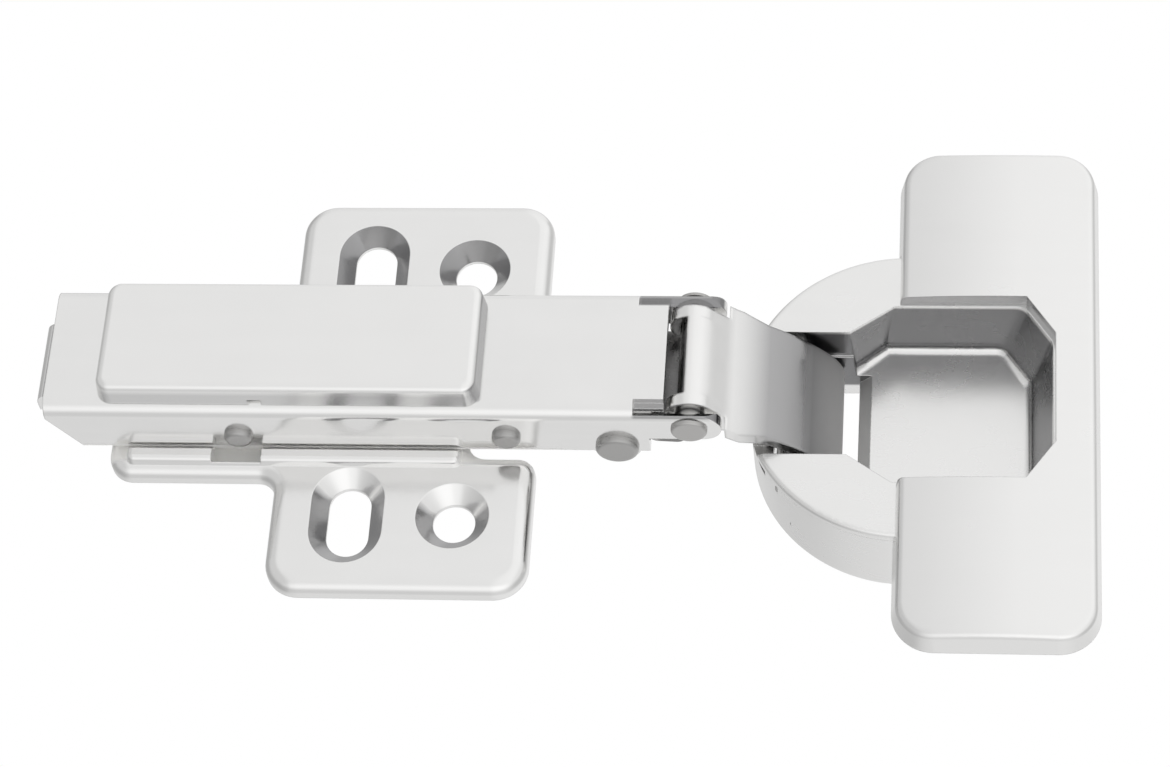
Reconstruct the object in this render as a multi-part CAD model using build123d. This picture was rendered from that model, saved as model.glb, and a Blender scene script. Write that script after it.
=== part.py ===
from build123d import *
import os
from math import atan2, cos, degrees, hypot, radians, sin

# Clip-on concealed cup hinge, full overlay, with its four-hole mounting plate, open with the door square
# to the cabinet side. It is drawn lying on the bench: x forward along the arm, y along the pivots, z off the
# cabinet side, from the middle of the plate's hole pattern on its seating face. The parts are written as
# fitted in a cabinet: +Z up along the pivots, +X out to the door, origin midway between the round holes.

# mounting plate
plate_sheet = 1.5
wing_length = 29.0
plate_span = 50.4
wing_height = 2.3
border_radius = 1.6
corner_radius = 3.8
hole_pitch_x = 11.7
hole_pitch_y = 32.0
hole_radius = 2.35
slot_travel = 3.8
sink_depth = 1.9
tongue_reach = 33.5
tongue_width = 22.0
tongue_corner = 2.8
step_height = 3.3
step_width = 21.0
step_hollow = 11.2
groove_floor = 2.5
groove_half = 0.95
pocket_floor = 1.5
channel_height = 6.4
channel_width = 9.8
channel_rear = -5.6
plate_nose = 6.9
notch_width = 16.4

# folded arm
arm_width = 16.0
arm_sheet = 1.2
arm_top = 10.8
arm_skirt = 3.1
bend_radius = 1.8
arm_rear = -39.4
rear_cut = 3.2
web_front = 29.1
web_nose_width = 12.0
ear_start = 25.8
ear_tip = 35.3
ear_half_height = 2.1
ear_coining = 0.8
lug_radius = 2.7

# pivots of the linkage, open
nose_pivot = (31.8, 7.8)
heel_pivot = (23.7, 4.0)
cup_outer_pivot = (43.48, -6.01)
cup_inner_pivot = (41.9, -1.4)
link_pin_radius = 1.5
cup_pin_radius = 1.15
slot_pin_radius = 1.1
run_fit = 0.05
head_height = 0.8
nose_head_radius = 2.0
nose_head_height = 0.5
heel_head_radius = 2.4

# adjusting gear in the arm
guide_pin_at = (-18.2, 5.6)
spring_pin_at = (11.6, 5.8)
guide_pin_radius = 1.2
guide_head_radius = 1.6
depth_travel = 2.0
clip_sheet = 1.2
clip_top = 8.6
clip_gap = 0.3
clip_rear = -30.4
clip_front = 4.9
slide_gap = 0.2
slide_end = 3.2
depth_screw_x = -11.5
depth_head_radius = 3.7
depth_shank_radius = 2.3
overlay_screw_x = 1.0
overlay_screw_radius = 2.5
spring_strip = 0.7
spring_width = 8.0

# release lever
lever_pin_at = (-26.6, 5.7)
lever_pin_radius = 1.0
lever_sheet = 0.9
lever_top = 8.3
lever_width = 9.4
lever_rear = -40.5
hook_grip = 0.9
hook_slot = 3.8
hook_neck = 1.3

# arm cover
cover_rear = -33.4
cover_front = 9.1
cover_width = 14.4
cover_height = 3.0
cover_wall = 0.8
cover_corner = 1.8

# links
outer_link_sheet = 1.4
nose_eye_radius = 2.7
cup_eye_radius = 2.3
link_neck_width = 14.2
shoulder_inset = 0.1
inner_link_width = 6.8
inner_link_sheet = 2.0
inner_link_waist = 13.0
heel_eye_radius = 2.5
slot_reach = 1.37
slot_play = 0.33
slot_shift = (-0.377, 0.073)
slot_lean = -15.6
slot_wall = 0.5
link_gap = 0.3
relief_gap = 0.4

# cup
cup_centre = 55.1
cup_radius = 17.4
rim_radius = 18.0
rim_top = 2.5
flange_sheet = 1.2
cup_depth = 11.5
well_depth = 8.8
floor_sheet = 1.5
cup_wall = 1.2
well_half_width = 11.3
well_right = 71.1
well_bevel = 3.2
floor_right = 68.7
floor_left = 49.2
floor_mouth = 8.5
floor_radius = 1.0
well_corner = 1.6
neck_width = 15.7
neck_sill = 4.9
floor_edge = 49.5
floor_bevel = 1.4
neck_wall_front = 40.4
flange_inset = 1.3
flange_hole_pitch = 48.0
flange_hole_offset = 6.0
flange_hole_radius = 2.6

# cup cover
bar_left = 53.9
bar_right = 76.2
bar_span = 62.8
bar_height = 3.1
bar_corner = 4.6
bar_wall = 0.9
bar_draft = 12.0
bar_edge_radius = 0.9
bar_crown = 0.45
bar_window_gap = 0.25

door_face = rim_top - flange_sheet
fitted = Plane.XZ * Pos(-hole_pitch_x / 2, 0, 0)


def slab(x0, x1, y0, y1, z0, z1):
    return Pos((x0 + x1) / 2, (y0 + y1) / 2, (z0 + z1) / 2) * Box(x1 - x0, y1 - y0, z1 - z0)


def band(x0, x1, width, z0, z1):
    return slab(x0, x1, -width / 2, width / 2, z0, z1)


def cross_cut(profile, width):
    """Side view profile (x, z) given a width along the pivots, centred."""
    return extrude(Plane.XZ * profile, width / 2, both=True)


def rod(at, radius, y0, y1):
    return Pos(at[0], (y0 + y1) / 2, at[1]) * Rot(90, 0, 0) * Cylinder(radius, y1 - y0)


def post(x, y, radius, z0, z1):
    return Pos(x, y, (z0 + z1) / 2) * Cylinder(radius, z1 - z0)


def outline(points):
    return make_face(Polyline(*points, close=True))


def riveted_pin(at, radius, head_radius, grip, rise):
    """Pin across the arm with a domed head closed over each side."""
    pin = rod(at, radius, -grip / 2, grip / 2)
    for side in (-1, 1):
        head = Pos(at[0], side * (grip + rise) / 2, at[1]) * Rot(90, 0, 0) * Cylinder(head_radius, rise)
        rim = head.edges().filter_by(GeomType.CIRCLE).sort_by(Axis.Y)[0 if side < 0 else -1]
        pin += fillet(rim, rise * 0.7)
    return pin


# ---- mounting plate

def plate_plan():
    wings = Rectangle(wing_length, plate_span)
    wings -= Pos(wing_length / 2, 0) * Rectangle(wing_length - 2 * plate_nose, notch_width)
    plan = wings + Pos(-tongue_reach / 2, 0) * Rectangle(tongue_reach, tongue_width)
    inner = [v for v in plan.vertices() if abs(v.Y) < plate_span / 2 - 1 and abs(v.X) < wing_length / 2 + 0.1]
    plan = fillet(inner, border_radius + 0.4)
    plan = fillet([v for v in plan.vertices() if v.X < 0.1 - tongue_reach], tongue_corner)
    return fillet([v for v in plan.vertices() if abs(v.Y) > plate_span / 2 - 0.1], corner_radius)


def step_block(inset, drop):
    return extrude(
        Pos((plate_nose - tongue_reach + 1.6) / 2, 0)
        * RectangleRounded(tongue_reach + plate_nose - 1.6 - 2 * inset, step_width - 2 * inset, 1.5),
        step_height - drop, taper=14)


def channel_block(inset, drop):
    length = plate_nose - channel_rear
    return extrude(
        Pos((plate_nose + channel_rear) / 2, 0)
        * RectangleRounded(length - 2 * inset, channel_width - 2 * inset, 1.4),
        channel_height - drop, taper=3)


def hole_places():
    for side in (-1, 1):
        yield Pos(hole_pitch_x / 2, side * hole_pitch_y / 2), False
        yield Pos(-hole_pitch_x / 2, side * hole_pitch_y / 2), True


def hole_shape(radius, slotted):
    if slotted:
        return Rot(0, 0, 90) * SlotCenterToCenter(slot_travel, 2 * radius)
    return Circle(radius)


def mounting_plate():
    plan = plate_plan()
    body = extrude(plan, wing_height)
    body = fillet(body.faces().sort_by(Axis.Z)[-1].edges(), border_radius)
    channel = channel_block(0, 0)
    channel = fillet(channel.faces().sort_by(Axis.Z)[-1].edges(), 1.1)
    step = step_block(0, 0)
    step = fillet(step.faces().sort_by(Axis.Z)[-1].edges(), 0.7)
    body += step
    body += channel
    hollow = extrude(offset(plan, -plate_sheet), wing_height - plate_sheet)
    hollow += band(plate_sheet + 1.6 - tongue_reach, plate_nose - plate_sheet, step_hollow,
                   0, step_height - plate_sheet)
    hollow += channel_block(plate_sheet, plate_sheet)
    body -= hollow
    foot = wing_height - sink_depth
    for place, slotted in hole_places():
        dimple = extrude(hole_shape(hole_radius + 1.2, slotted), wing_height - 0.4, taper=-38)
        body += place * dimple
    for place, slotted in hole_places():
        sink = extrude(hole_shape(hole_radius, slotted), sink_depth, taper=-42)
        body -= place * Pos(0, 0, foot) * sink
        body -= place * Pos(0, 0, -1) * extrude(hole_shape(hole_radius, slotted), foot + 2)
    # grooves for the arm's lower edges, a pocket in each outer rib, slots for the clip base's front legs
    # and slots for the lever's hooks
    for side in (-1, 1):
        cheek = side * (arm_width - arm_sheet) / 2
        body -= slab(-tongue_reach - 1, plate_nose + 1, cheek - groove_half, cheek + groove_half,
                     groove_floor, step_height + 1)
        y0, y1 = sorted((cheek, side * (step_width / 2 - 0.7)))
        body -= slab(-21.6, -16.0, y0, y1, pocket_floor, step_height + 1)
        leg_y = side * clip_width() / 2 - side * clip_sheet / 2
        body -= slab(plate_nose - plate_sheet - 2, plate_nose + 1, leg_y - 0.9, leg_y + 0.9,
                     -1, step_height - plate_sheet + 0.1)
        lever_y = side * (lever_width - lever_sheet) / 2
        rear = lever_pin_at[0] - hook_neck - 0.1
        body -= slab(rear, rear + hook_slot, lever_y - 0.7, lever_y + 0.7, 0.5, step_height + 1)
    return body


# ---- arm, cover and what is inside

def arm_side():
    """Side view of the arm's cheeks: raked rear, lug round the heel pivot and ear at the nose."""
    hx, hz = heel_pivot
    nz = nose_pivot[1]
    ear_bottom = nz - ear_half_height
    ear_top = nz + ear_half_height
    tip = ear_tip - ear_half_height
    body = outline([
        (arm_rear, arm_top), (arm_rear, arm_top - bend_radius - 0.3), (arm_rear + rear_cut, arm_skirt),
        (hx + 3.6, arm_skirt), (hx + 3.6, ear_bottom), (tip, ear_bottom), (tip, ear_top),
        (web_front, ear_top), (web_front, arm_top)])
    body += Pos(hx, hz) * Circle(lug_radius)
    body += Pos(tip, nz) * Circle(ear_half_height)
    return body


def hinge_arm():
    inner = arm_width / 2 - arm_sheet
    low = heel_pivot[1] - lug_radius - 1
    block = band(arm_rear, ear_tip, arm_width, low, arm_top)
    block = fillet(block.edges().filter_by(Axis.X).group_by(Axis.Z)[-1], bend_radius)
    hollow = band(arm_rear - 1, ear_tip + 1, 2 * inner, low - 1, arm_top - arm_sheet)
    hollow = fillet(hollow.edges().filter_by(Axis.X).group_by(Axis.Z)[-1], bend_radius - arm_sheet + 0.1)
    arm = (block - hollow) & cross_cut(arm_side(), arm_width + 2)
    ear_top = nose_pivot[1] + ear_half_height
    for side in (-1, 1):
        y0, y1 = sorted((side * web_nose_width / 2, side * (arm_width / 2 + 1)))
        arm -= slab(ear_start, ear_tip + 1, y0, y1, ear_top, arm_top + 1)
        coined = outline([(side * (inner - 0.1), ear_top - ear_coining - 0.1), (side * (inner - 0.1), ear_top + 0.1),
                          (side * (inner + ear_coining + 0.1), ear_top + 0.1)])
        arm -= extrude(Plane.YZ.offset(ear_start) * coined, ear_tip + 1 - ear_start)
    arm -= band(web_front, ear_tip + 1, 2 * inner, ear_top - 2, arm_top + 1)
    boss = post(overlay_screw_x, 0, overlay_screw_radius + 1.1, arm_top - 0.2, arm_top + 0.9)
    arm += fillet(boss.edges().filter_by(GeomType.CIRCLE).sort_by(Axis.Z)[-1], 0.3)
    arm -= post(overlay_screw_x, 0, overlay_screw_radius + 0.2, arm_skirt, arm_top + 2)
    arm -= post(depth_screw_x, 0, depth_head_radius + 0.4, arm_top - 2, arm_top + 2)
    for x in cover_hook_places():
        arm -= band(x - 1.3, x + 1.3, cover_hook_width + 0.8, arm_top - 2, arm_top + 1)
    for at, radius in ((nose_pivot, link_pin_radius), (heel_pivot, link_pin_radius),
                       (guide_pin_at, guide_pin_radius), (spring_pin_at, guide_pin_radius)):
        arm -= rod(at, radius + 0.02, -arm_width, arm_width)
    return arm


cover_hook_width = 5.0


def cover_hook_places():
    return (cover_rear + 4.6, cover_front - 3.6)


def cover_shell(inset, height):
    length = cover_front - cover_rear - 2 * inset
    plan = RectangleRounded(length, cover_width - 2 * inset, cover_corner - inset * 0.6)
    shell = Pos((cover_front + cover_rear) / 2, 0, arm_top) * extrude(plan, height, taper=7)
    return shell


def arm_cover():
    cap = cover_shell(0, cover_height)
    cap = fillet(cap.faces().sort_by(Axis.Z)[-1].edges(), 0.9)
    cap -= cover_shell(cover_wall, cover_height - cover_wall)
    for x in cover_hook_places():
        cap += band(x - 0.5, x + 0.5, cover_hook_width, arm_top - arm_sheet - 0.45, arm_top + cover_height - 0.4)
        cap += band(x - 0.9, x + 0.9, cover_hook_width, arm_top - arm_sheet - 0.45, arm_top - arm_sheet - 0.1)
    # pry notch in the near long edge
    cap -= slab(-16.4, -14.9, -cover_width / 2 - 1, -cover_width / 2 + 1.1, arm_top - 1, arm_top + 0.8)
    return cap


def clip_width():
    return arm_width - 2 * arm_sheet - 2 * clip_gap


def obround_cut(at, radius, reach, width):
    """Slot through the cheeks, along x."""
    return cross_cut(Pos(*at) * SlotCenterToCenter(2 * reach, 2 * radius), width)


def clip_base():
    width = clip_width()
    inner = width - 2 * clip_sheet
    clip = band(clip_rear, clip_front, width, step_height, clip_top)
    clip = fillet(clip.edges().filter_by(Axis.X).group_by(Axis.Z)[-1], clip_sheet)
    clip -= band(clip_rear - 1, clip_front + 1, inner, step_height - 1, clip_top - clip_sheet)
    leg_x = plate_nose + 0.1
    leg_front = leg_x + clip_sheet
    for side in (-1, 1):
        y0, y1 = sorted((side * width / 2, side * inner / 2))
        arm_z = step_height + 1.4
        clip += slab(clip_front - 1, leg_front, y0, y1, step_height, clip_top - 1.9)
        clip += slab(leg_x, leg_front, y0, y1, 0.5, arm_z)
        clip += slab(leg_x - 1.9, leg_x + 0.1, y0, y1, 0.5, step_height - plate_sheet - 0.2)
    clip -= obround_cut(guide_pin_at, guide_pin_radius + slide_gap, depth_travel + 0.1, width + 2)
    clip -= rod(lever_pin_at, lever_pin_radius + 0.02, -width, width)
    clip -= Pos(depth_screw_x, 0, clip_top) * extrude(
        SlotCenterToCenter(2 * depth_travel + 0.2, 2 * depth_shank_radius + 0.5), 3, both=True)
    clip -= Pos(overlay_screw_x, 0, clip_top) * extrude(
        SlotCenterToCenter(2 * depth_travel + 0.2, 3.5), 3, both=True)
    # the lever's root passes under the rear edge of the web
    clip -= band(clip_rear - 1, clip_rear + 5.4, lever_width + 0.4, lever_top - lever_sheet - 2.2, clip_top + 1)
    return clip


def slide_block():
    width = clip_width() - 2 * clip_sheet - 2 * slide_gap
    block = band(guide_pin_at[0] - slide_end, depth_screw_x + slide_end, width,
                 step_height + slide_gap, clip_top - clip_sheet - slide_gap)
    block = chamfer(block.edges().filter_by(Axis.Z), 0.8)
    block -= rod(guide_pin_at, guide_pin_radius + 0.02, -width, width)
    block -= post(depth_screw_x, 0, depth_shank_radius + run_fit, 0, clip_top)
    return block


def cross_recess(x, top, size, depth):
    recess = band(x - size, x + size, 0.9, top - depth, top + 1)
    return recess + band(x - 0.45, x + 0.45, 2 * size, top - depth, top + 1)


def depth_screw():
    seat = clip_top + slide_gap
    top = arm_top + 0.9
    head = post(depth_screw_x, 0, depth_head_radius, seat, top)
    head = chamfer(head.edges().filter_by(GeomType.CIRCLE).sort_by(Axis.Z)[-1], 0.4)
    screw = head + post(depth_screw_x, 0, depth_shank_radius, step_height + 0.5, seat + 0.5)
    return screw - cross_recess(depth_screw_x, top, 2.0, 1.2)


def overlay_screw():
    clip_under = clip_top - clip_sheet
    top = arm_top + 1.3
    screw = post(overlay_screw_x, 0, overlay_screw_radius, clip_top + 0.15, top)
    screw = chamfer(screw.edges().filter_by(GeomType.CIRCLE).sort_by(Axis.Z)[-1], 0.3)
    screw += post(overlay_screw_x, 0, 1.55, clip_under - 0.3, clip_top + 0.5)
    screw += post(overlay_screw_x, 0, 2.5, channel_height + 0.15, clip_under - 0.15)
    return screw - cross_recess(overlay_screw_x, top, 1.5, 1.2)


def release_lever():
    px, pz = lever_pin_at
    wide = lever_width
    web = band(lever_rear + 0.9, px - 1.6, wide, lever_top - lever_sheet, lever_top)
    lip = Pos(lever_rear + 0.9, 0, lever_top - 1.5) * Rot(90, 0, 0) * Cylinder(1.5, wide)
    lip -= Pos(lever_rear + 0.9, 0, lever_top - 1.5) * Rot(90, 0, 0) * Cylinder(1.5 - lever_sheet, wide + 1)
    lip &= band(lever_rear - 2, lever_rear + 0.9, wide + 1, lever_top - 1.6, lever_top + 1)
    lip += band(lever_rear - 0.6, lever_rear - 0.6 + lever_sheet, wide, lever_top - 3.0, lever_top - 1.5)
    lever = web + lip
    nose_z = step_height - plate_sheet - 0.15
    side_view = outline([
        (px - 6.2, lever_top), (px - 1.6, lever_top), (px + 0.9, pz + 1.5), (px + 1.4, pz), (px + 1.1, 0.6),
        (px - hook_neck - hook_grip, 0.6), (px - hook_neck - hook_grip, nose_z - 0.5), (px - hook_neck, nose_z),
        (px - hook_neck - 0.1, pz - 1.6), (px - 2.6, lever_top - 1.4)])
    for side in (-1, 1):
        y = side * (wide - lever_sheet) / 2
        lever += Pos(0, y, 0) * cross_cut(side_view, lever_sheet)
    lever -= rod(lever_pin_at, lever_pin_radius + run_fit, -wide, wide)
    return lever


def lever_spring():
    """Torsion spring round the lever pin: close coils with one leg each way."""
    wire = 0.5
    turns = 4
    pitch = wire - 0.04
    coil = lever_pin_radius + 0.15 + wire / 2
    px, pz = lever_pin_at
    half = (turns - 1) / 2 * pitch
    rings = [Pos(coil, (k - (turns - 1) / 2) * pitch) * Circle(wire / 2) for k in range(turns)]
    section = rings[0] + rings[1:]
    body = Pos(px, 0, pz) * revolve(section, Axis.Y)
    leg = wire * 0.8
    top = pz + coil + wire / 2 - 0.03
    body += slab(px, px + 2.8, half - leg / 2, half + leg / 2, top - leg, top)
    return body + slab(px - 6.4, px, -half - leg / 2, -half + leg / 2, top - leg, top)


# ---- closing spring in the nose

def closing_spring():
    """Flat strip wrapped round its pin, run forward under the web and bent down on to the slider."""
    sx, sz = spring_pin_at
    strip = spring_strip
    loop = guide_pin_radius + 0.1
    coil = Pos(sx, sz) * Circle(loop + strip) - Pos(sx, sz) * Circle(loop)
    coil -= Pos(sx + 2 * loop, sz - loop) * Rectangle(4 * loop, 2 * loop)
    hx, hz = heel_pivot
    touch = hz + heel_eye_radius + 1.6
    top = sz + loop + strip
    path = [(sx, top), (sx + 4.5, top + 0.9), (hx - 2.2, touch + strip + 0.25), (hx + 1.6, touch + strip),
            (hx + 2.6, touch + strip + 0.6), (hx + 2.6, touch + 0.6), (hx + 1.6, touch), (hx - 2.2, touch + 0.25),
            (sx + 4.5, top + 0.9 - strip), (sx, top - strip)]
    return cross_cut(coil + outline(path), spring_width)


def spring_slider():
    """Moulded saddle on the round heel of the inner link, under the spring's free end."""
    hx, hz = heel_pivot
    top = hz + heel_eye_radius + 1.5
    block = Pos(hx - 0.3, (hz + heel_eye_radius + top) / 2 - 0.6) * Rectangle(4.4, top - hz - heel_eye_radius + 1.2)
    block -= Pos(hx, hz) * Circle(heel_eye_radius + 0.12)
    return cross_cut(block, inner_link_width)


# ---- links

def offset_points(points, distance):
    """Points moved square to the run of a smooth line, to its right."""
    moved = []
    for k, (x, z) in enumerate(points):
        x0, z0 = points[max(k - 1, 0)]
        x1, z1 = points[min(k + 1, len(points) - 1)]
        length = hypot(x1 - x0, z1 - z0)
        moved.append((x + (z1 - z0) / length * distance, z - (x1 - x0) / length * distance))
    return moved


def outer_link_back():
    """Outer face of the curved back in side view, from over the nose pin down into the cup."""
    ax, az = nose_pivot
    bx, bz = cup_outer_pivot
    over_pin = [(ax + nose_eye_radius * cos(a), az + nose_eye_radius * sin(a))
                for a in (radians(102), radians(75), radians(38))]
    return over_pin + [(ax + 3.6, az + 0.1), (ax + 5.6, az - 1.5), (ax + 8.5, az - 3.2), (bx - 0.2, bz + 8.2),
                       (bx + 2.5, bz + 5.4), (bx + 3.9, bz + 3.1), (bx + 4.4, bz + 0.9)]


def outer_link():
    """Curved channel: its back runs over both pins, its cheeks carry them inside the arm's ears and in the cup."""
    back = outer_link_back()
    inside = offset_points(back, -outer_link_sheet)
    inside = [(2 * p[0] - q[0], 2 * p[1] - q[1]) for p, q in zip(back, inside)]
    strip = make_face(Wire([Spline(*back), Line(back[-1], inside[-1]),
                            Spline(*reversed(inside)), Line(inside[0], back[0])]))
    shoulder = arm_width / 2 - shoulder_inset
    link = cross_cut(strip, 2 * shoulder)
    ax, az = nose_pivot
    narrow = web_nose_width / 2 + 0.3
    neck = link_neck_width / 2
    x0, x1, x2, x3 = ax - 5, ear_tip + link_gap, ear_tip + 1.8, ear_tip + 4.6
    end = cup_outer_pivot[0] + 6
    half = [(x0, narrow), (x1, narrow), (x1, shoulder), (x2, shoulder), (x3, neck), (end, neck)]
    plan = outline(half + [(x, -y) for x, y in reversed(half)])
    link &= Pos(0, 0, -20) * extrude(plan, 50)
    nose_cheek = outline([(ax, az - nose_eye_radius), (ax + 6.4, az - 3.4), (ax + 6.4, az - 2.7),
                          (ax + 3.2, az - 0.6), (ax + 1.2, az + 2.0)])
    nose_cheek += Pos(ax, az) * Circle(nose_eye_radius)
    bx, bz = cup_outer_pivot
    dx, dz = cup_inner_pivot
    cup_cheek = outline(back[-4:] + [(bx + 1.2, bz - 1.9), (bx - 1.6, bz + 1.6), (dx + 3.1, dz + 2.0)])
    cup_cheek += Pos(bx, bz) * Circle(cup_eye_radius)
    for cheek, edge in ((nose_cheek, narrow), (cup_cheek, neck)):
        for side in (-1, 1):
            link += Pos(0, side * (edge - outer_link_sheet / 2), 0) * cross_cut(cheek, outer_link_sheet)
    link -= cross_cut(slotted_eye(slot_pin_radius + slot_play + slot_wall + relief_gap),
                      inner_link_width + 2 * link_gap)
    link -= rod(nose_pivot, link_pin_radius + run_fit, -arm_width, arm_width)
    link -= rod(cup_outer_pivot, cup_pin_radius + run_fit, -arm_width, arm_width)
    return link


def slotted_eye(radius):
    """Side view of the slot round the inner cup pin, which takes up what the linkage moves there."""
    return Pos(cup_inner_pivot[0] + slot_shift[0], cup_inner_pivot[1] + slot_shift[1]) \
        * Rot(0, 0, slot_lean) * SlotCenterToCenter(slot_reach, 2 * radius)


def strap(points, thickness):
    """Side view of a strap that follows the points, rounded at its bends."""
    side = Pos(*points[0]) * Circle(thickness / 2)
    for (x0, z0), (x1, z1) in zip(points, points[1:]):
        lean = degrees(atan2(z1 - z0, x1 - x0))
        side += Pos((x0 + x1) / 2, (z0 + z1) / 2) * Rot(0, 0, lean) * Rectangle(hypot(x1 - x0, z1 - z0), thickness)
        side += Pos(x1, z1) * Circle(thickness / 2)
    return side


def inner_link():
    hx, hz = heel_pivot
    dx, dz = cup_inner_pivot[0] + slot_shift[0], cup_inner_pivot[1] + slot_shift[1]
    slot_radius = slot_pin_radius + slot_play
    # cranked, so that it passes over the edge of the door's bore
    side = strap([heel_pivot, (hx + 11.5, hz - 0.9), (hx + 14.9, hz - 1.9), (dx, dz)], inner_link_sheet)
    side += Pos(hx, hz) * Circle(heel_eye_radius)
    side += slotted_eye(slot_radius + slot_wall)
    link = cross_cut(side, inner_link_width)
    # widened between the ears, under the slot at the web's end
    waist = strap([(hx + 4.4, hz - 0.34), (hx + 6.4, hz - 0.5)], inner_link_sheet)
    link += cross_cut(waist, inner_link_waist)
    link -= cross_cut(slotted_eye(slot_radius), 2 * inner_link_width)
    link -= rod(heel_pivot, link_pin_radius + run_fit, -arm_width, arm_width)
    return link


# ---- cup and its cover

def octagon(left, right, half, mouth, bevel_left):
    """Plan of the well: open mouth to the left, bevelled corners."""
    upper = [(left, mouth), (left + bevel_left, half), (right - well_bevel, half),
             (right, half - well_bevel * 1.45)]
    return outline(upper + [(x, -y) for x, y in reversed(upper)])


def well_plan(grow):
    return octagon(floor_edge - 0.9 - grow, well_right + grow, well_half_width + grow,
                   neck_width / 2 + grow, 5.0)


def well_sink():
    """Well with upright sides, its right wall leaning in, and a rounded foot."""
    floor = octagon(floor_left, floor_right, well_half_width - 0.1, floor_mouth, 3.2)
    sink = loft([Pos(0, 0, rim_top) * well_plan(0), Pos(0, 0, rim_top - well_depth) * floor], ruled=True)
    upright = [e for e in sink.edges() if abs(e.tangent_at(0.5).Z) > 0.5 and e.center().X > cup_centre]
    sink = fillet(upright, well_corner)
    foot = sink.faces().sort_by(Axis.Z)[0].edges().sort_by(Axis.X)[1:]
    return fillet(foot, floor_radius)


def hinge_cup():
    bottom = door_face - cup_depth
    floor = rim_top - well_depth
    neck = neck_width / 2
    cup = post(cup_centre, 0, cup_radius, bottom, rim_top)
    cup = fillet(cup.edges().filter_by(GeomType.CIRCLE).sort_by(Axis.Z)[0], 0.8)
    rim = post(cup_centre, 0, rim_radius, door_face, rim_top)
    rim = fillet(rim.edges().filter_by(GeomType.CIRCLE).sort_by(Axis.Z)[-1], 0.6)
    wing = Pos((bar_left + bar_right) / 2, 0, door_face) * extrude(
        RectangleRounded(bar_right - bar_left - 2 * flange_inset, bar_span - 2 * flange_inset,
                         bar_corner - flange_inset), flange_sheet)
    cup += rim + wing
    cup -= well_sink()
    # underside: hollow below the floor, inside the wall
    under = post(cup_centre, 0, cup_radius - cup_wall, bottom - 1, floor - floor_sheet)
    under -= band(0, floor_edge + floor_bevel + 1.2, 60, bottom - 2, floor)
    cup -= under
    # neck: window right through for the links, with a sill cut down in the outer wall
    left = cup_centre - rim_radius - 1
    cup -= band(left, floor_edge + 0.4, neck_width, rim_top - neck_sill, rim_top + 1)
    cup -= band(neck_wall_front, floor_edge, neck_width - 0.6, bottom - 1, rim_top)
    dip = cup_inner_pivot[1] - slot_pin_radius - slot_play - slot_wall - 2 * link_gap
    cup -= band(left, floor_edge, inner_link_width + 4 * link_gap, dip, rim_top)
    bevel = outline([(floor_edge - 0.1, floor - floor_bevel - 0.1), (floor_edge - 0.1, floor + 0.1),
                     (floor_edge + floor_bevel + 0.1, floor + 0.1)])
    cup -= cross_cut(bevel, neck_width - 0.6)
    for side in (-1, 1):
        y = side * flange_hole_pitch / 2
        cup -= post(cup_centre + flange_hole_offset, y, flange_hole_radius, door_face - 1, rim_top + 1)
    for at, radius in ((cup_outer_pivot, cup_pin_radius), (cup_inner_pivot, slot_pin_radius)):
        cup -= rod(at, radius + 0.02, -pin_half(at) - 0.1, pin_half(at) + 0.1)
    return cup


def pin_half(at):
    reach = cup_centre - at[0]
    return (cup_radius ** 2 - reach ** 2) ** 0.5 - 1.2


def cup_pin(at, radius):
    half = pin_half(at)
    return rod(at, radius, -half, half)


def cup_cover():
    length = bar_right - bar_left
    middle = (bar_right + bar_left) / 2
    plan = RectangleRounded(length, bar_span, bar_corner)
    bar = Pos(middle, 0, door_face) * extrude(plan, bar_height, taper=bar_draft)
    half = length / 2
    rise = door_face + bar_height
    crown = make_face(Wire([
        ThreePointArc((middle - half, rise - bar_crown), (middle, rise), (middle + half, rise - bar_crown)),
        Line((middle + half, rise - bar_crown), (middle + half, door_face)),
        Line((middle + half, door_face), (middle - half, door_face)),
        Line((middle - half, door_face), (middle - half, rise - bar_crown))]))
    bar &= cross_cut(crown, bar_span + 2)
    bar = fillet(bar.faces().sort_by(Axis.Z)[-1].edges(), bar_edge_radius)
    pocket = RectangleRounded(length - 2 * bar_wall, bar_span - 2 * bar_wall, bar_corner - bar_wall)
    inner = Pos(middle, 0, door_face) * extrude(pocket, bar_height - bar_wall - bar_crown, taper=bar_draft)
    window = Pos(0, 0, door_face - 1) * extrude(well_plan(bar_window_gap), bar_height + 3)
    collar = Pos(0, 0, rim_top) * extrude(well_plan(bar_window_gap + bar_wall), 3)
    mouth = band(bar_left - 3, floor_edge + 6, 2 * well_half_width + 2 * bar_window_gap, -20, 20)
    inner -= collar
    seat = post(cup_centre, 0, rim_radius + 0.1, door_face - 1, rim_top)
    bar = bar - inner - window - seat
    return bar


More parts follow.
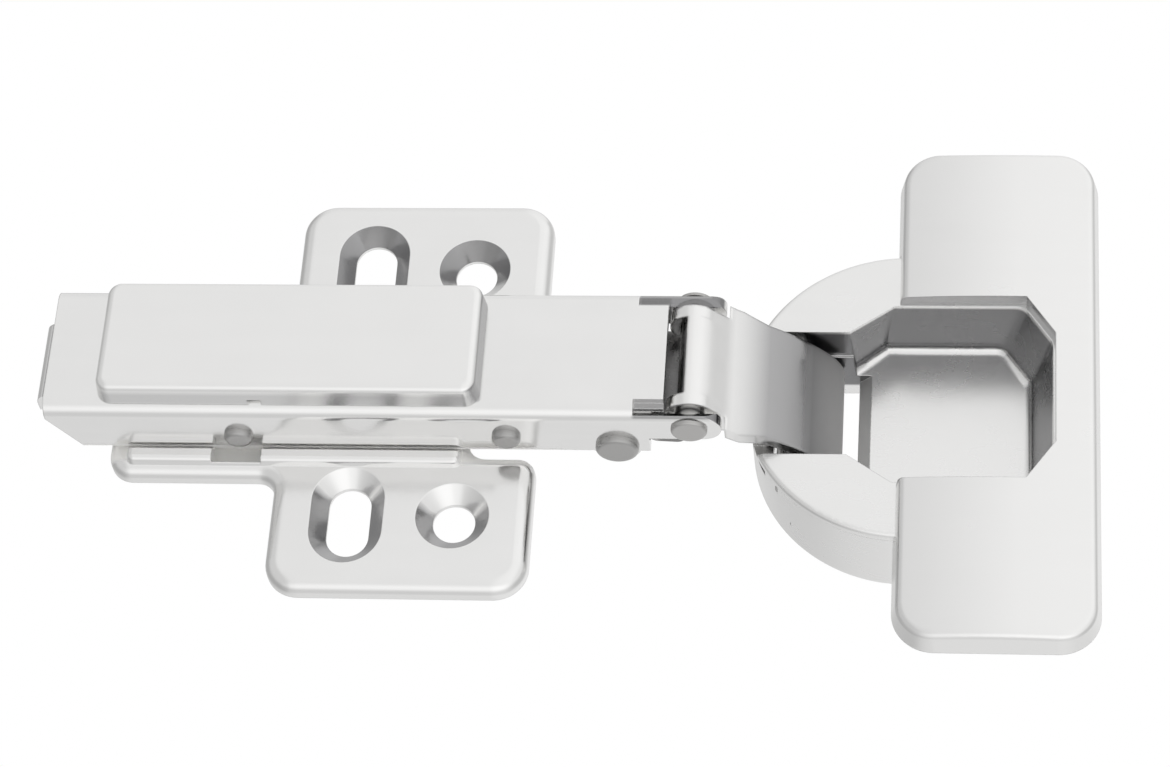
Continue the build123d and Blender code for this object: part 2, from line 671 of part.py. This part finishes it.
pieces = {
    "mounting_plate": mounting_plate,
    "clip_base": clip_base,
    "lever_pin": lambda: rod(lever_pin_at, lever_pin_radius, -clip_width() / 2, clip_width() / 2),
    "release_lever": release_lever,
    "lever_spring": lever_spring,
    "slide_block": slide_block,
    "guide_pin": lambda: riveted_pin(guide_pin_at, guide_pin_radius, guide_head_radius, arm_width, head_height),
    "depth_screw": depth_screw,
    "overlay_screw": overlay_screw,
    "hinge_arm": hinge_arm,
    "arm_cover": arm_cover,
    "spring_pin": lambda: riveted_pin(spring_pin_at, guide_pin_radius, guide_head_radius, arm_width, head_height),
    "closing_spring": closing_spring,
    "spring_slider": spring_slider,
    "outer_arm_pin": lambda: riveted_pin(nose_pivot, link_pin_radius, nose_head_radius, arm_width, nose_head_height),
    "inner_arm_pin": lambda: riveted_pin(heel_pivot, link_pin_radius, heel_head_radius, arm_width, head_height),
    "outer_link": outer_link,
    "inner_link": inner_link,
    "outer_cup_pin": lambda: cup_pin(cup_outer_pivot, cup_pin_radius),
    "inner_cup_pin": lambda: cup_pin(cup_inner_pivot, slot_pin_radius),
    "hinge_cup": hinge_cup,
    "cup_cover": cup_cover,
}

os.makedirs("parts", exist_ok=True)
for name, make in pieces.items():
    export_step(fitted * make(), f"parts/{name}.step")
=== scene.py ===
import bmesh
import bpy
from mathutils import Matrix, Vector

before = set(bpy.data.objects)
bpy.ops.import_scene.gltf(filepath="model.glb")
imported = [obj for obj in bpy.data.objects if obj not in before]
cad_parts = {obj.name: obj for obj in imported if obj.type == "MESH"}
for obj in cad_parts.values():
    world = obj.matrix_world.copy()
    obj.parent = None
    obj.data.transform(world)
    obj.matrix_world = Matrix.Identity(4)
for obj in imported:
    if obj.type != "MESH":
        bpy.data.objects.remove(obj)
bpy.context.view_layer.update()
print("hinge loaded:", len(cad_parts), "parts")

camera = {
    "place": (0.058895, -0.354502, -0.212103),  # metres, in front of the arm and a little below it
    "look": (-0.1095, 0.8504, 0.5146),
    "up": (-0.0078, -0.5184, 0.8551),
    "lens": 114.53,  # millimetres, like the sensor
    "sensor": 36.0,
    "nearest": 0.01,
}


def makeCamera(setup):
    look = Vector(setup["look"]).normalized()
    right = look.cross(Vector(setup["up"])).normalized()
    up = right.cross(look)
    data = bpy.data.cameras.new("hingeCamera")
    data.lens = setup["lens"]
    data.sensor_width = setup["sensor"]
    data.clip_start = setup["nearest"]
    cam = bpy.data.objects.new("hingeCamera", data)
    bpy.context.collection.objects.link(cam)
    turn = Matrix((right, up, -look)).transposed().to_4x4()
    cam.matrix_world = Matrix.Translation(setup["place"]) @ turn
    bpy.context.scene.camera = cam


makeCamera(camera)
bpy.context.scene.view_settings.view_transform = "Standard"
print("camera set")


def maths(tree, kind, a, b=0.0, clamp=False):
    node = tree.nodes.new("ShaderNodeMath")
    node.operation = kind
    node.use_clamp = clamp
    for index, value in enumerate((a, b)):
        if isinstance(value, (int, float)):
            node.inputs[index].default_value = value
        else:
            tree.links.new(value, node.inputs[index])
    return node.outputs[0]


# brightness of the studio by direction: the cosine to an axis, then the level there
room = {
    "byHeight": ((-1.0, 0.94), (-0.8, 0.88), (-0.45, 0.66), (-0.15, 0.66),
                 (0.05, 0.78), (0.25, 0.96), (0.5, 1.0)),  # off the cabinet side
    "byLength": ((-0.6, 0.667), (-0.3, 0.833), (-0.1, 0.857), (0.0, 0.912),
                 (0.12, 0.935), (0.62, 0.963), (0.95, 0.852)),  # along the arm
    "byNear": ((0.5, 1.0), (0.9, 1.2)),  # a little brighter below
    "byFar": ((-0.92, 0.95), (-0.66, 0.0)),  # light from above keeps the far edges bright
    "backdrop": (1.0, 1.0, 1.0),
    "floorColour": (0.86, 0.86, 0.855),
    "floorRoughness": 0.8,
    "floorGlow": 0.6,
    "floorDrop": 0.42,
    "floorSize": 3.0,
}


def makeWorld(setup):
    world = bpy.data.worlds.new("studio")
    bpy.context.scene.world = world
    world.use_nodes = True
    tree = world.node_tree
    nodes, links = tree.nodes, tree.links
    nodes.clear()
    coords = nodes.new("ShaderNodeTexCoord")
    split = nodes.new("ShaderNodeSeparateXYZ")
    links.new(coords.outputs["Generated"], split.inputs[0])

    def level(axis, sign, stops):
        place = nodes.new("ShaderNodeMapRange")
        place.inputs["From Min"].default_value = -sign
        place.inputs["From Max"].default_value = sign
        links.new(split.outputs[axis], place.inputs["Value"])
        ramp = nodes.new("ShaderNodeValToRGB")
        ramp.color_ramp.interpolation = "EASE"
        elements = ramp.color_ramp.elements
        for index, (cosine, value) in enumerate(stops):
            stop = elements[index] if index < 2 else elements.new(1.0)  # a new ramp has two stops
            stop.position = (cosine + 1.0) / 2.0
            stop.color = (value, value, value, 1.0)
        links.new(place.outputs[0], ramp.inputs[0])
        return ramp.outputs[0]

    height = level("Y", -1.0, setup["byHeight"])
    length = level("X", 1.0, setup["byLength"])
    near = level("Z", -1.0, setup["byNear"])
    far = level("Z", -1.0, setup["byFar"])
    bright = maths(tree, "MAXIMUM", height, far)
    bright = maths(tree, "MULTIPLY", bright, length)
    bright = maths(tree, "MULTIPLY", bright, near)
    light = nodes.new("ShaderNodeBackground")
    links.new(bright, light.inputs["Color"])
    plain = nodes.new("ShaderNodeBackground")
    plain.inputs["Color"].default_value = (*setup["backdrop"], 1.0)
    path = nodes.new("ShaderNodeLightPath")
    mix = nodes.new("ShaderNodeMixShader")
    links.new(path.outputs["Is Camera Ray"], mix.inputs[0])
    links.new(light.outputs[0], mix.inputs[1])
    links.new(plain.outputs[0], mix.inputs[2])
    links.new(mix.outputs[0], nodes.new("ShaderNodeOutputWorld").inputs[0])


def makeFloor(setup):
    bm = bmesh.new()
    bmesh.ops.create_grid(bm, x_segments=1, y_segments=1, size=setup["floorSize"])
    bmesh.ops.translate(bm, vec=(0.0, 0.0, -setup["floorDrop"]), verts=bm.verts)
    mesh = bpy.data.meshes.new("floor")
    bm.to_mesh(mesh)
    bm.free()
    floor = bpy.data.objects.new("floor", mesh)
    bpy.context.collection.objects.link(floor)
    material = bpy.data.materials.new("paleFloor")
    material.use_nodes = True
    tree = material.node_tree
    nodes, links = tree.nodes, tree.links
    paint = nodes["Principled BSDF"]
    paint.inputs["Base Color"].default_value = (*setup["floorColour"], 1.0)
    paint.inputs["Roughness"].default_value = setup["floorRoughness"]
    glow = nodes.new("ShaderNodeEmission")  # the floor reads as pale, and keeps a soft shadow
    clear = nodes.new("ShaderNodeBsdfTransparent")  # metal mirrors the studio, not the floor
    path = nodes.new("ShaderNodeLightPath")
    seen = nodes.new("ShaderNodeMixShader")
    links.new(maths(tree, "MULTIPLY", path.outputs["Is Camera Ray"], setup["floorGlow"]), seen.inputs[0])
    links.new(paint.outputs[0], seen.inputs[1])
    links.new(glow.outputs[0], seen.inputs[2])
    mirrored = nodes.new("ShaderNodeMixShader")
    links.new(path.outputs["Is Glossy Ray"], mirrored.inputs[0])
    links.new(seen.outputs[0], mirrored.inputs[1])
    links.new(clear.outputs[0], mirrored.inputs[2])
    links.new(mirrored.outputs[0], nodes["Material Output"].inputs["Surface"])
    mesh.materials.append(material)


makeWorld(room)
makeFloor(room)
print("room set")


def startGroup(name, inputs, outputs):
    group = bpy.data.node_groups.new(name, "ShaderNodeTree")
    for socket, kind, value in inputs:
        made = group.interface.new_socket(name=socket, in_out="INPUT", socket_type=kind)
        if value is not None:
            made.default_value = value
    for socket, kind in outputs:
        group.interface.new_socket(name=socket, in_out="OUTPUT", socket_type=kind)
    inside = group.nodes.new("NodeGroupInput")
    outside = group.nodes.new("NodeGroupOutput")
    coords = group.nodes.new("ShaderNodeTexCoord")
    return group, inside.outputs, outside.inputs, coords.outputs


plating = {
    "cloudScale": 140.0,  # per metre, like the other scales
    "cloudDetail": 3.0,
    "streakScale": 900.0,
    "streakDetail": 4.0,
    "streakStretch": (0.05, 1.0, 1.0),
    "grainScale": 5200.0,
    "grainDetail": 2.0,
    "middle": 0.5,  # noise that changes nothing
    "streakTone": 0.6,
    "roughMiddle": 0.45,
    "cloudRoughness": 0.12,
    "bevelSamples": 6,
    "bumpStrength": 0.12,
    "bumpDistance": 0.00004,
}


def makePlatingGroup(setup):
    group, given, out, coords = startGroup("platingWear", (
        ("Colour", "NodeSocketColor", (0.7, 0.7, 0.7, 1.0)),
        ("Cloudiness", "NodeSocketFloat", 0.05),
        ("Gloss", "NodeSocketFloat", 0.25),
        ("Streaks", "NodeSocketFloat", 0.04),
        ("Grain", "NodeSocketFloat", 0.1),
    ), (
        ("Base Colour", "NodeSocketColor"),
        ("Roughness", "NodeSocketFloat"),
        ("Height", "NodeSocketFloat"),
    ))
    nodes, links = group.nodes, group.links

    def noise(scale, detail, stretch=(1.0, 1.0, 1.0)):
        place = nodes.new("ShaderNodeMapping")
        place.inputs["Scale"].default_value = stretch
        links.new(coords["Object"], place.inputs["Vector"])
        node = nodes.new("ShaderNodeTexNoise")
        node.inputs["Scale"].default_value = scale
        node.inputs["Detail"].default_value = detail
        links.new(place.outputs[0], node.inputs["Vector"])
        return node.outputs["Fac"]

    def about(value, middle, amount):
        return maths(group, "MULTIPLY", maths(group, "SUBTRACT", value, middle), amount)

    middle = setup["middle"]
    clouds = noise(setup["cloudScale"], setup["cloudDetail"])
    streaks = noise(setup["streakScale"], setup["streakDetail"], setup["streakStretch"])
    grain = noise(setup["grainScale"], setup["grainDetail"])
    streakTone = maths(group, "MULTIPLY", given["Streaks"], setup["streakTone"])
    tone = maths(group, "ADD", about(clouds, middle, given["Cloudiness"]), about(streaks, middle, streakTone))
    scale = nodes.new("ShaderNodeVectorMath")
    scale.operation = "SCALE"
    links.new(given["Colour"], scale.inputs[0])
    links.new(maths(group, "ADD", tone, 1.0), scale.inputs["Scale"])
    links.new(scale.outputs[0], out["Base Colour"])
    dull = maths(group, "ADD", given["Gloss"], about(clouds, setup["roughMiddle"], setup["cloudRoughness"]))
    dull = maths(group, "ADD", dull, about(streaks, middle, given["Streaks"]), clamp=True)
    links.new(dull, out["Roughness"])
    height = maths(group, "ADD", maths(group, "MULTIPLY", grain, given["Grain"]),
                   maths(group, "MULTIPLY", streaks, given["Streaks"]))
    links.new(height, out["Height"])
    return group


platingWear = makePlatingGroup(plating)

# a mark fills the box from low to high in metres, on faces that look the stated way; z counts from the middle. Its
# tone is painted light or shade in the colour; its rough only changes roughness
markDefaults = {
    "up": (-1.2, 1.2),  # cosine to the way off the cabinet side, least and most
    "out": 1.2,  # cosine to the way out from the middle, at most
    "sharpness": 2500.0,  # of its edges, per metre
}
facingSharpness = 6.0
coolness = 0.98  # darker painted shade is a shade cooler


def makePaintedLightAndRoughnessMaskGroup():
    group, given, out, coords = startGroup("paintedLightAndRoughnessMask", (
        ("Low", "NodeSocketVector", None),
        ("High", "NodeSocketVector", None),
        ("Up Least", "NodeSocketFloat", markDefaults["up"][0]),
        ("Up Most", "NodeSocketFloat", markDefaults["up"][1]),
        ("Out Most", "NodeSocketFloat", markDefaults["out"]),
        ("Sharpness", "NodeSocketFloat", markDefaults["sharpness"]),
    ), (("Mask", "NodeSocketFloat"),))

    def split(vector):
        node = group.nodes.new("ShaderNodeSeparateXYZ")
        group.links.new(vector, node.inputs[0])
        return list(node.outputs)

    place = split(coords["Object"])
    facing = split(coords["Normal"])
    up = maths(group, "MULTIPLY", facing[1], -1.0)
    outward = maths(group, "MULTIPLY", facing[2], maths(group, "SIGN", place[2]))
    place[2] = maths(group, "ABSOLUTE", place[2])  # both sides alike
    ranges = [(value, low, high, given["Sharpness"]) for value, low, high in
              zip(place, split(given["Low"]), split(given["High"]))]
    ranges.append((up, given["Up Least"], given["Up Most"], facingSharpness))
    ranges.append((outward, markDefaults["up"][0], given["Out Most"], facingSharpness))
    mask = 1.0
    for value, low, high, sharpness in ranges:
        for distance in (maths(group, "SUBTRACT", value, low), maths(group, "SUBTRACT", high, value)):
            mask = maths(group, "MULTIPLY", maths(group, "MULTIPLY", distance, sharpness, clamp=True), mask)
    group.links.new(mask, out["Mask"])
    return group


paintedLightAndRoughnessMask = makePaintedLightAndRoughnessMaskGroup()


def makeMetal(name, colour, gloss, cloudiness=0.06, streaks=0.05, grain=0.1, edge=0.00018, metallic=1.0, marks=()):
    material = bpy.data.materials.new(name)
    material.use_nodes = True
    nodes, links = material.node_tree.nodes, material.node_tree.links
    shader = nodes["Principled BSDF"]
    shader.inputs["Metallic"].default_value = metallic
    wear = nodes.new("ShaderNodeGroup")
    wear.node_tree = platingWear
    wear.inputs["Colour"].default_value = (*colour, 1.0)
    wear.inputs["Cloudiness"].default_value = cloudiness
    wear.inputs["Gloss"].default_value = gloss
    wear.inputs["Streaks"].default_value = streaks
    wear.inputs["Grain"].default_value = grain

    def placeMark(setup):
        mark = nodes.new("ShaderNodeGroup")
        mark.node_tree = paintedLightAndRoughnessMask
        mark.inputs["Low"].default_value = setup["low"]
        mark.inputs["High"].default_value = setup["high"]
        mark.inputs["Up Least"].default_value, mark.inputs["Up Most"].default_value = setup["up"]
        mark.inputs["Out Most"].default_value = setup["out"]
        mark.inputs["Sharpness"].default_value = setup["sharpness"]
        return mark.outputs["Mask"]

    tone, rough = wear.outputs["Base Colour"], wear.outputs["Roughness"]
    for setup in marks:
        mask = placeMark({**markDefaults, **setup})
        # the tone paints light or shade into the colour
        if "tone" in setup:
            grey = setup["tone"]
            darken = nodes.new("ShaderNodeMix")
            darken.data_type = "RGBA"
            darken.blend_type = "MULTIPLY"
            darken.inputs["B"].default_value = (grey, grey, grey ** coolness, 1.0)
            links.new(mask, darken.inputs["Factor"])
            links.new(tone, darken.inputs["A"])
            tone = darken.outputs["Result"]
        if "rough" in setup:
            dull = nodes.new("ShaderNodeMix")
            dull.inputs["B"].default_value = setup["rough"]
            links.new(mask, dull.inputs["Factor"])
            links.new(rough, dull.inputs["A"])
            rough = dull.outputs["Result"]
    rounded = nodes.new("ShaderNodeBevel")  # pressed sheet has no sharp edge
    rounded.samples = plating["bevelSamples"]
    rounded.inputs["Radius"].default_value = edge
    bump = nodes.new("ShaderNodeBump")
    bump.inputs["Strength"].default_value = plating["bumpStrength"]
    bump.inputs["Distance"].default_value = plating["bumpDistance"]
    links.new(tone, shader.inputs["Base Color"])
    links.new(rough, shader.inputs["Roughness"])
    links.new(wear.outputs["Height"], bump.inputs["Height"])
    links.new(rounded.outputs[0], bump.inputs["Normal"])
    links.new(bump.outputs[0], shader.inputs["Normal"])
    return material


nickelTint = (0.896, 0.893, 0.886)
brightTint = (0.907, 0.904, 0.896)
finishes = {
    "armNickel": {
        "colour": nickelTint, "gloss": 0.15,
        "marks": [
            # painted shade on the sheared tops of the ears
            {"low": (0.0197, -0.0102, 0.005), "high": (0.031, -0.0086, 0.0082), "up": (0.3, 1.2), "tone": 0.32},
            # painted light on the edges in the plate's grooves, lifting their shade, and more roughness there
            {"low": (-0.0420, -0.0036, 0.0058), "high": (0.0120, -0.0005, 0.0098), "up": (-1.2, 0.6),
             "tone": 1.1, "rough": 1.0},
        ],
    },
    "plateNickel": {
        "colour": nickelTint, "gloss": 0.16,
        "marks": [
            # painted shade in the countersinks
            {"low": (-0.0190, -0.004, 0.0104), "high": (0.0066, 0.001, 0.0226), "up": (0.1, 0.93), "out": 0.35,
             "tone": 0.45},
            # painted light in the grooves for the arm, lifting their shade, and more roughness there
            {"low": (-0.0420, -0.0032, 0.0064), "high": (0.0120, -0.0010, 0.0096), "up": (-0.5, 1.2),
             "tone": 1.1, "rough": 1.0},
        ],
    },
    "linkNickel": {
        "colour": brightTint, "gloss": 0.17, "edge": 0.0005,
        "marks": [
            # painted shade, darker where it dips into the cup
            {"low": (0.0305, -0.02, -0.012), "high": (0.0425, 0.02, 0.03), "tone": 0.5, "sharpness": 270.0},
            # satin at its end: rougher, with painted shade
            {"low": (0.0378, -0.02, -0.012), "high": (0.0450, 0.02, 0.03), "tone": 0.86, "rough": 0.75,
             "sharpness": 1000.0},
        ],
    },
    "pressedNickel": {
        "colour": nickelTint, "gloss": 0.16,
        "marks": [
            # painted shadow on the lever behind the arm's end
            {"low": (-0.0462, -0.02, -0.001), "high": (-0.0440, 0.0, 0.02), "up": (-0.5, 1.2), "tone": 0.25,
             "sharpness": 5000.0},
        ],
    },
    "coverNickel": {
        "colour": (0.918, 0.915, 0.907), "gloss": 0.24, "cloudiness": 0.04,
        "marks": [
            # painted shade on the front end of the arm's cover
            {"low": (0.0016, -0.0145, -0.001), "high": (0.0045, -0.0085, 0.0069), "up": (-0.6, 0.6), "tone": 0.45},
            # painted shade at the foot of its sides
            {"low": (-0.0400, -0.0130, 0.0062), "high": (0.0040, -0.0105, 0.0085), "up": (-0.6, 0.6), "tone": 0.78,
             "sharpness": 1500.0},
            # painted shade on the walls of the cup cover's window
            {"low": (0.0400, -0.0060, -0.001), "high": (0.0662, 0.0010, 0.0122), "up": (-0.6, 0.55), "tone": 0.5},
            # painted shade on its top, darker towards the neck
            {"low": (0.0300, -0.04, -0.04), "high": (0.0615, 0.04, 0.08), "up": (0.5, 1.2), "tone": 0.87,
             "sharpness": 80.0},
        ],
    },
    "cupNickel": {
        "colour": brightTint, "gloss": 0.26,
        "marks": [
            # painted shade on the drawn walls
            {"low": (0.0375, -0.0023, -0.001), "high": (0.0659, 0.0085, 0.0119), "up": (-0.6, 0.55), "tone": 0.26},
            # edge of the floor
            {"low": (0.0430, 0.0035, -0.001), "high": (0.0458, 0.0085, 0.0090), "up": (0.5, 0.93), "rough": 0.6},
        ],
    },
    # grey of greased steel, kept darker to paint the shade inside the arm's nose
    "greasedSteelPaintedShade": {
        "colour": (0.50, 0.495, 0.485), "gloss": 0.26, "cloudiness": 0.1,
        "marks": [
            # painted shade between the ears
            {"low": (0.0220, -0.012, -0.001), "high": (0.0285, 0.002, 0.0068), "tone": 0.38},
        ],
    },
    "pinSteel": {"colour": (0.43, 0.427, 0.42), "gloss": 0.2, "cloudiness": 0.08},
    "screwZinc": {"colour": (0.68, 0.68, 0.69), "gloss": 0.28, "cloudiness": 0.1},
    "springSteel": {"colour": (0.20, 0.20, 0.21), "gloss": 0.34, "cloudiness": 0.2},
    "nylon": {"colour": (0.78, 0.78, 0.75), "gloss": 0.5, "metallic": 0.0, "streaks": 0.0},
}
wearers = {
    "armNickel": ("hinge_arm",),
    "plateNickel": ("mounting_plate",),
    "linkNickel": ("outer_link",),
    "pressedNickel": ("clip_base", "release_lever", "slide_block"),
    "coverNickel": ("arm_cover", "cup_cover"),
    "cupNickel": ("hinge_cup",),
    "greasedSteelPaintedShade": ("inner_link", "outer_arm_pin"),
    "pinSteel": ("lever_pin", "guide_pin", "spring_pin", "inner_arm_pin", "outer_cup_pin", "inner_cup_pin"),
    "screwZinc": ("depth_screw", "overlay_screw"),
    "springSteel": ("closing_spring", "lever_spring"),
    "nylon": ("spring_slider",),
}
for finish, parts in wearers.items():
    material = makeMetal(finish, **finishes[finish])
    for part in parts:
        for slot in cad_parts[part].material_slots:
            slot.material = material
print("plating done")
